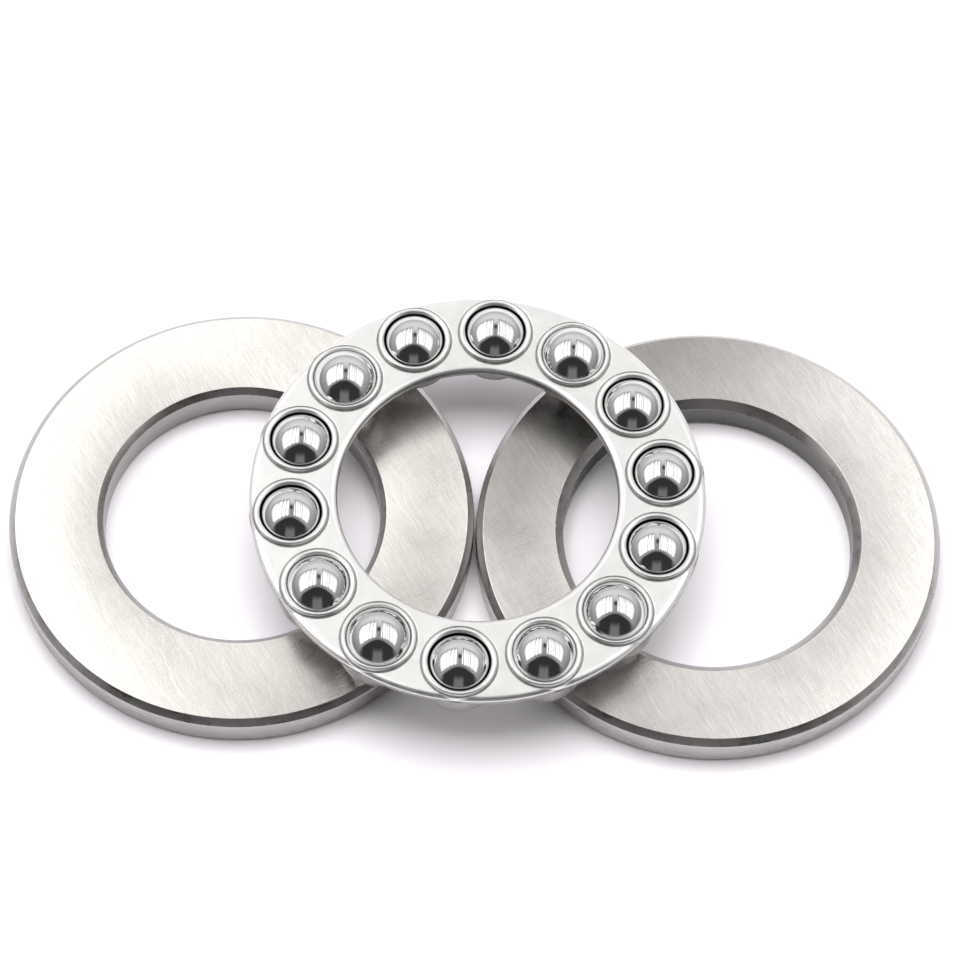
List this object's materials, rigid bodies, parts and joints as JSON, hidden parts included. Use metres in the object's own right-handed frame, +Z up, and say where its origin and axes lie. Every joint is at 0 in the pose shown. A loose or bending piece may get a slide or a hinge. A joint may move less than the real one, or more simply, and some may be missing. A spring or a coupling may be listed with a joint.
{
  "type": "thrust ball bearing",
  "caption": "Single-direction thrust ball bearing laid apart: two grooved steel washers lie flat side by side, with the pressed cage and its loose balls lying across both.",
  "frame": {"origin": "midway between the two washers at the height of the surface they lie on", "axes": "+X from the shaft washer towards the housing washer, +Y away from the viewer, +Z up along every bearing ring's axis"},
  "size_m": [0.0842, 0.042, 0.0102],
  "materials": {
    "washer_steel": "ground and hardened bearing steel, faintly scratched satin faces",
    "cage_steel": "bright pressed sheet steel, satin",
    "ball_steel": "lapped and polished bearing steel, mirror bright"
  },
  "bodies": {
    "housing_washer": {"housing_washer": "washer_steel"},
    "shaft_washer": {"shaft_washer": "washer_steel"},
    "cage": {"cage": "cage_steel"},
    "ball_01": {"ball_01": "ball_steel"},
    "ball_02": {"ball_02": "ball_steel"},
    "ball_03": {"ball_03": "ball_steel"},
    "ball_04": {"ball_04": "ball_steel"},
    "ball_05": {"ball_05": "ball_steel"},
    "ball_06": {"ball_06": "ball_steel"},
    "ball_07": {"ball_07": "ball_steel"},
    "ball_08": {"ball_08": "ball_steel"},
    "ball_09": {"ball_09": "ball_steel"},
    "ball_10": {"ball_10": "ball_steel"},
    "ball_11": {"ball_11": "ball_steel"},
    "ball_12": {"ball_12": "ball_steel"},
    "ball_13": {"ball_13": "ball_steel"},
    "ball_14": {"ball_14": "ball_steel"}
  },
  "joints": [
    {"name": "shaft_washer_turn", "type": "hinge", "parent": "housing_washer", "child": "shaft_washer", "pos_m": [-0.0211, 0, 0], "axis": [0, 0, 1], "continuous": true},
    {"name": "cage_turn", "type": "hinge", "parent": "housing_washer", "child": "cage", "pos_m": [0.00014, 0.00039, 0.00681], "axis": [0, 0, 1], "continuous": true},
    {"name": "ball_01_spin", "type": "hinge", "parent": "cage", "child": "ball_01", "pos_m": [-0.00624, 0.01588, 0.0066], "axis": [0.3811, -0.9245, 0], "continuous": true},
    {"name": "ball_02_spin", "type": "hinge", "parent": "cage", "child": "ball_02", "pos_m": [0.00111, 0.01711, 0.0066], "axis": [-0.0578, -0.9983, 0], "continuous": true},
    {"name": "ball_03_spin", "type": "hinge", "parent": "cage", "child": "ball_03", "pos_m": [0.00827, 0.01504, 0.00702], "axis": [-0.4852, -0.8744, 0], "continuous": true},
    {"name": "ball_04_spin", "type": "hinge", "parent": "cage", "child": "ball_04", "pos_m": [0.01382, 0.01006, 0.00664], "axis": [-0.8166, -0.5772, 0], "continuous": true},
    {"name": "ball_05_spin", "type": "hinge", "parent": "cage", "child": "ball_05", "pos_m": [0.01666, 0.00317, 0.0066], "axis": [-0.9862, -0.1658, 0], "continuous": true},
    {"name": "ball_06_spin", "type": "hinge", "parent": "cage", "child": "ball_06", "pos_m": [0.01623, -0.00428, 0.0066], "axis": [-0.9604, 0.2785, 0], "continuous": true},
    {"name": "ball_07_spin", "type": "hinge", "parent": "cage", "child": "ball_07", "pos_m": [0.01261, -0.01079, 0.00702], "axis": [-0.7445, 0.6676, 0], "continuous": true},
    {"name": "ball_08_spin", "type": "hinge", "parent": "cage", "child": "ball_08", "pos_m": [0.00652, -0.0151, 0.00687], "axis": [-0.3811, 0.9245, 0], "continuous": true},
    {"name": "ball_09_spin", "type": "hinge", "parent": "cage", "child": "ball_09", "pos_m": [-0.00083, -0.01633, 0.0066], "axis": [0.0578, 0.9983, 0], "continuous": true},
    {"name": "ball_10_spin", "type": "hinge", "parent": "cage", "child": "ball_10", "pos_m": [-0.00799, -0.01426, 0.00702], "axis": [0.4852, 0.8744, 0], "continuous": true},
    {"name": "ball_11_spin", "type": "hinge", "parent": "cage", "child": "ball_11", "pos_m": [-0.01354, -0.00928, 0.00681], "axis": [0.8166, 0.5772, 0], "continuous": true},
    {"name": "ball_12_spin", "type": "hinge", "parent": "cage", "child": "ball_12", "pos_m": [-0.01638, -0.00239, 0.0066], "axis": [0.9862, 0.1658, 0], "continuous": true},
    {"name": "ball_13_spin", "type": "hinge", "parent": "cage", "child": "ball_13", "pos_m": [-0.01595, 0.00506, 0.0066], "axis": [0.9604, -0.2785, 0], "continuous": true},
    {"name": "ball_14_spin", "type": "hinge", "parent": "cage", "child": "ball_14", "pos_m": [-0.01233, 0.01157, 0.00702], "axis": [0.7445, -0.6676, 0], "continuous": true}
  ],
  "couplings": [
    {"joint": "cage_turn", "follows": "shaft_washer_turn", "ratio": 0.5},
    {"joint": "ball_01_spin", "follows": "shaft_washer_turn", "ratio": 2.6378},
    {"joint": "ball_02_spin", "follows": "shaft_washer_turn", "ratio": 2.6378},
    {"joint": "ball_03_spin", "follows": "shaft_washer_turn", "ratio": 2.6378},
    {"joint": "ball_04_spin", "follows": "shaft_washer_turn", "ratio": 2.6378},
    {"joint": "ball_05_spin", "follows": "shaft_washer_turn", "ratio": 2.6378},
    {"joint": "ball_06_spin", "follows": "shaft_washer_turn", "ratio": 2.6378},
    {"joint": "ball_07_spin", "follows": "shaft_washer_turn", "ratio": 2.6378},
    {"joint": "ball_08_spin", "follows": "shaft_washer_turn", "ratio": 2.6378},
    {"joint": "ball_09_spin", "follows": "shaft_washer_turn", "ratio": 2.6378},
    {"joint": "ball_10_spin", "follows": "shaft_washer_turn", "ratio": 2.6378},
    {"joint": "ball_11_spin", "follows": "shaft_washer_turn", "ratio": 2.6378},
    {"joint": "ball_12_spin", "follows": "shaft_washer_turn", "ratio": 2.6378},
    {"joint": "ball_13_spin", "follows": "shaft_washer_turn", "ratio": 2.6378},
    {"joint": "ball_14_spin", "follows": "shaft_washer_turn", "ratio": 2.6378}
  ]
}
